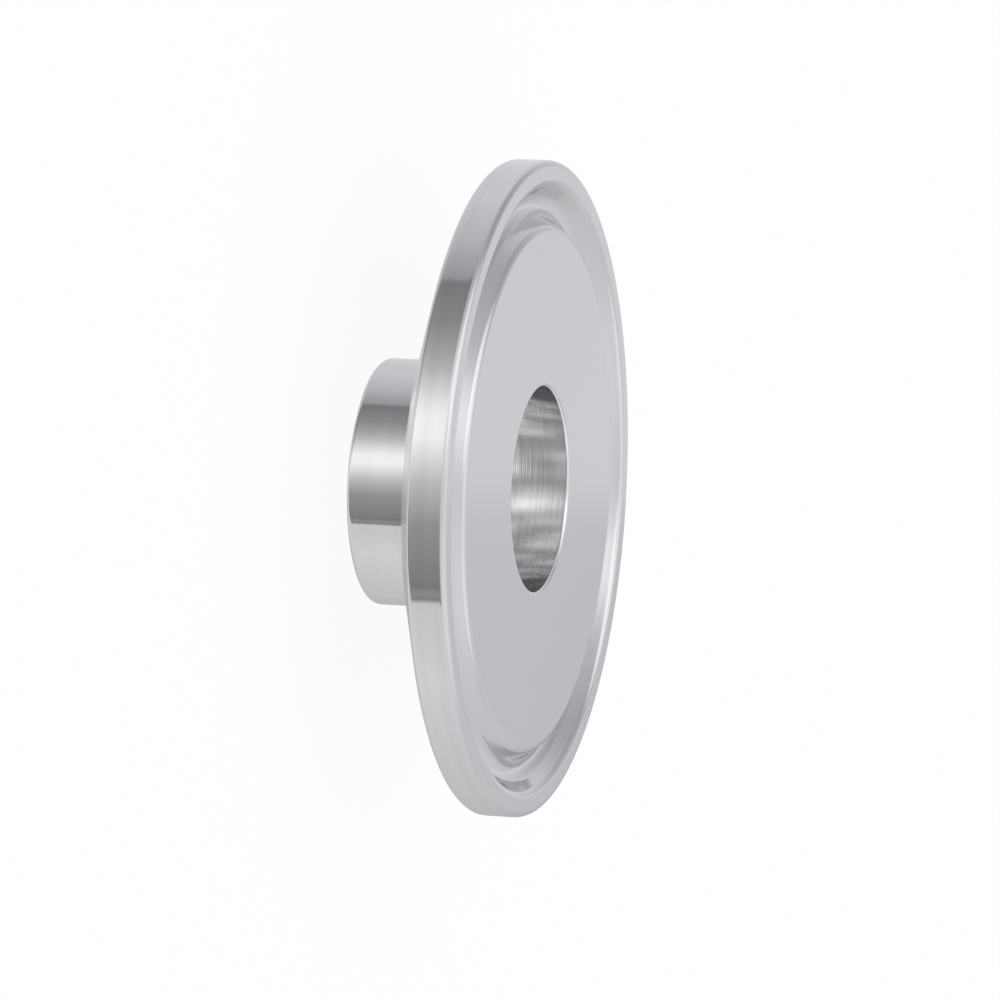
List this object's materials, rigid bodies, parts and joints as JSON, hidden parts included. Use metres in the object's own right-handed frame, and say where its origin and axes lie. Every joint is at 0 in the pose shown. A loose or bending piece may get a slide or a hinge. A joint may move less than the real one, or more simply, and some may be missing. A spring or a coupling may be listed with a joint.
{
  "type": "pipe collar",
  "caption": "Turned stainless steel pipe collar: a round clamp flange with a gasket groove in its face, on a short weld stub with a through bore.",
  "frame": {"origin": "on the bore's axis, in the plane of the stub's cut end", "axes": "+Z along the bore from the stub's cut end to the sealing face; the part is round about Z, so X and Y have no marks"},
  "size_m": [0.0506, 0.0506, 0.0127],
  "materials": {
    "stainless_steel": "fine turned, with the face polished to a satin"
  },
  "bodies": {
    "root": {"clamp_ferrule": "stainless_steel"}
  },
  "joints": []
}
